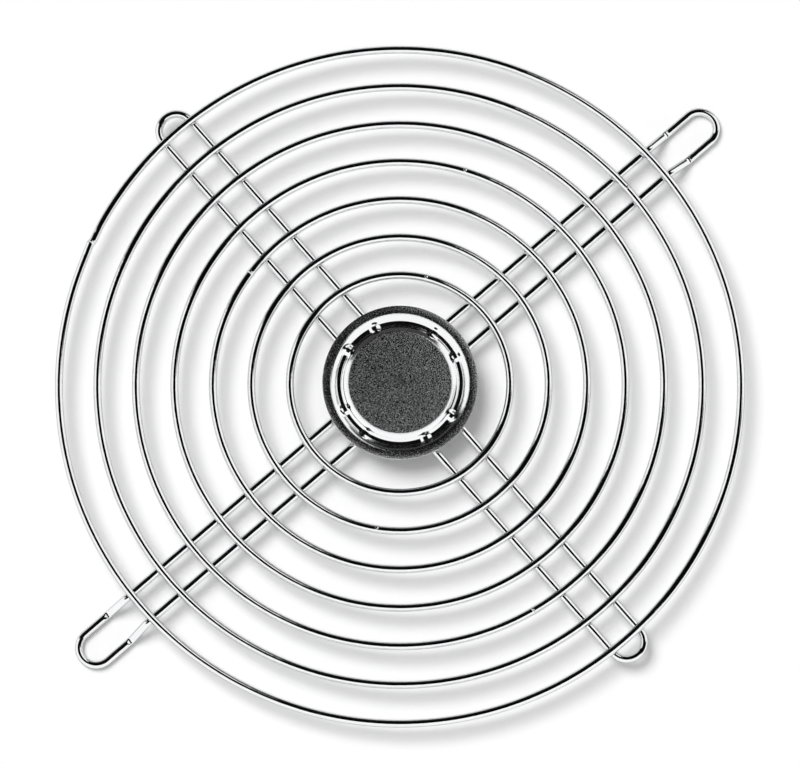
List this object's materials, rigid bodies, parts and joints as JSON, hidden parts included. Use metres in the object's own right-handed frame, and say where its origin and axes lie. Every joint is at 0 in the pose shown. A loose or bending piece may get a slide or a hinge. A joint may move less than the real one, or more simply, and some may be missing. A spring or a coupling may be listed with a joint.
{
  "type": "wire fan guard",
  "caption": "Round wire finger guard for an axial fan: concentric welded rings on crossed wire loops, a pressed hub disc, and joggled end eyelets for the screws.",
  "frame": {"origin": "centre of the guard, on the plane that the undersides of its two eyelets rest on", "axes": "+X along the long loop, from screw to screw; +Y along the short loop; +Z away from the fan, towards the side with the rings and the hub disc"},
  "size_m": [0.1756, 0.1514, 0.0065],
  "materials": {
    "plated_wire": "polished",
    "plated_sheet": "satin"
  },
  "bodies": {
    "root": {"ring_1": "plated_wire", "ring_2": "plated_wire", "ring_3": "plated_wire", "ring_4": "plated_wire", "ring_5": "plated_wire", "ring_6": "plated_wire", "ring_7": "plated_wire", "long_loop": "plated_wire", "short_loop": "plated_wire", "centre_disc": "plated_sheet"}
  },
  "joints": []
}
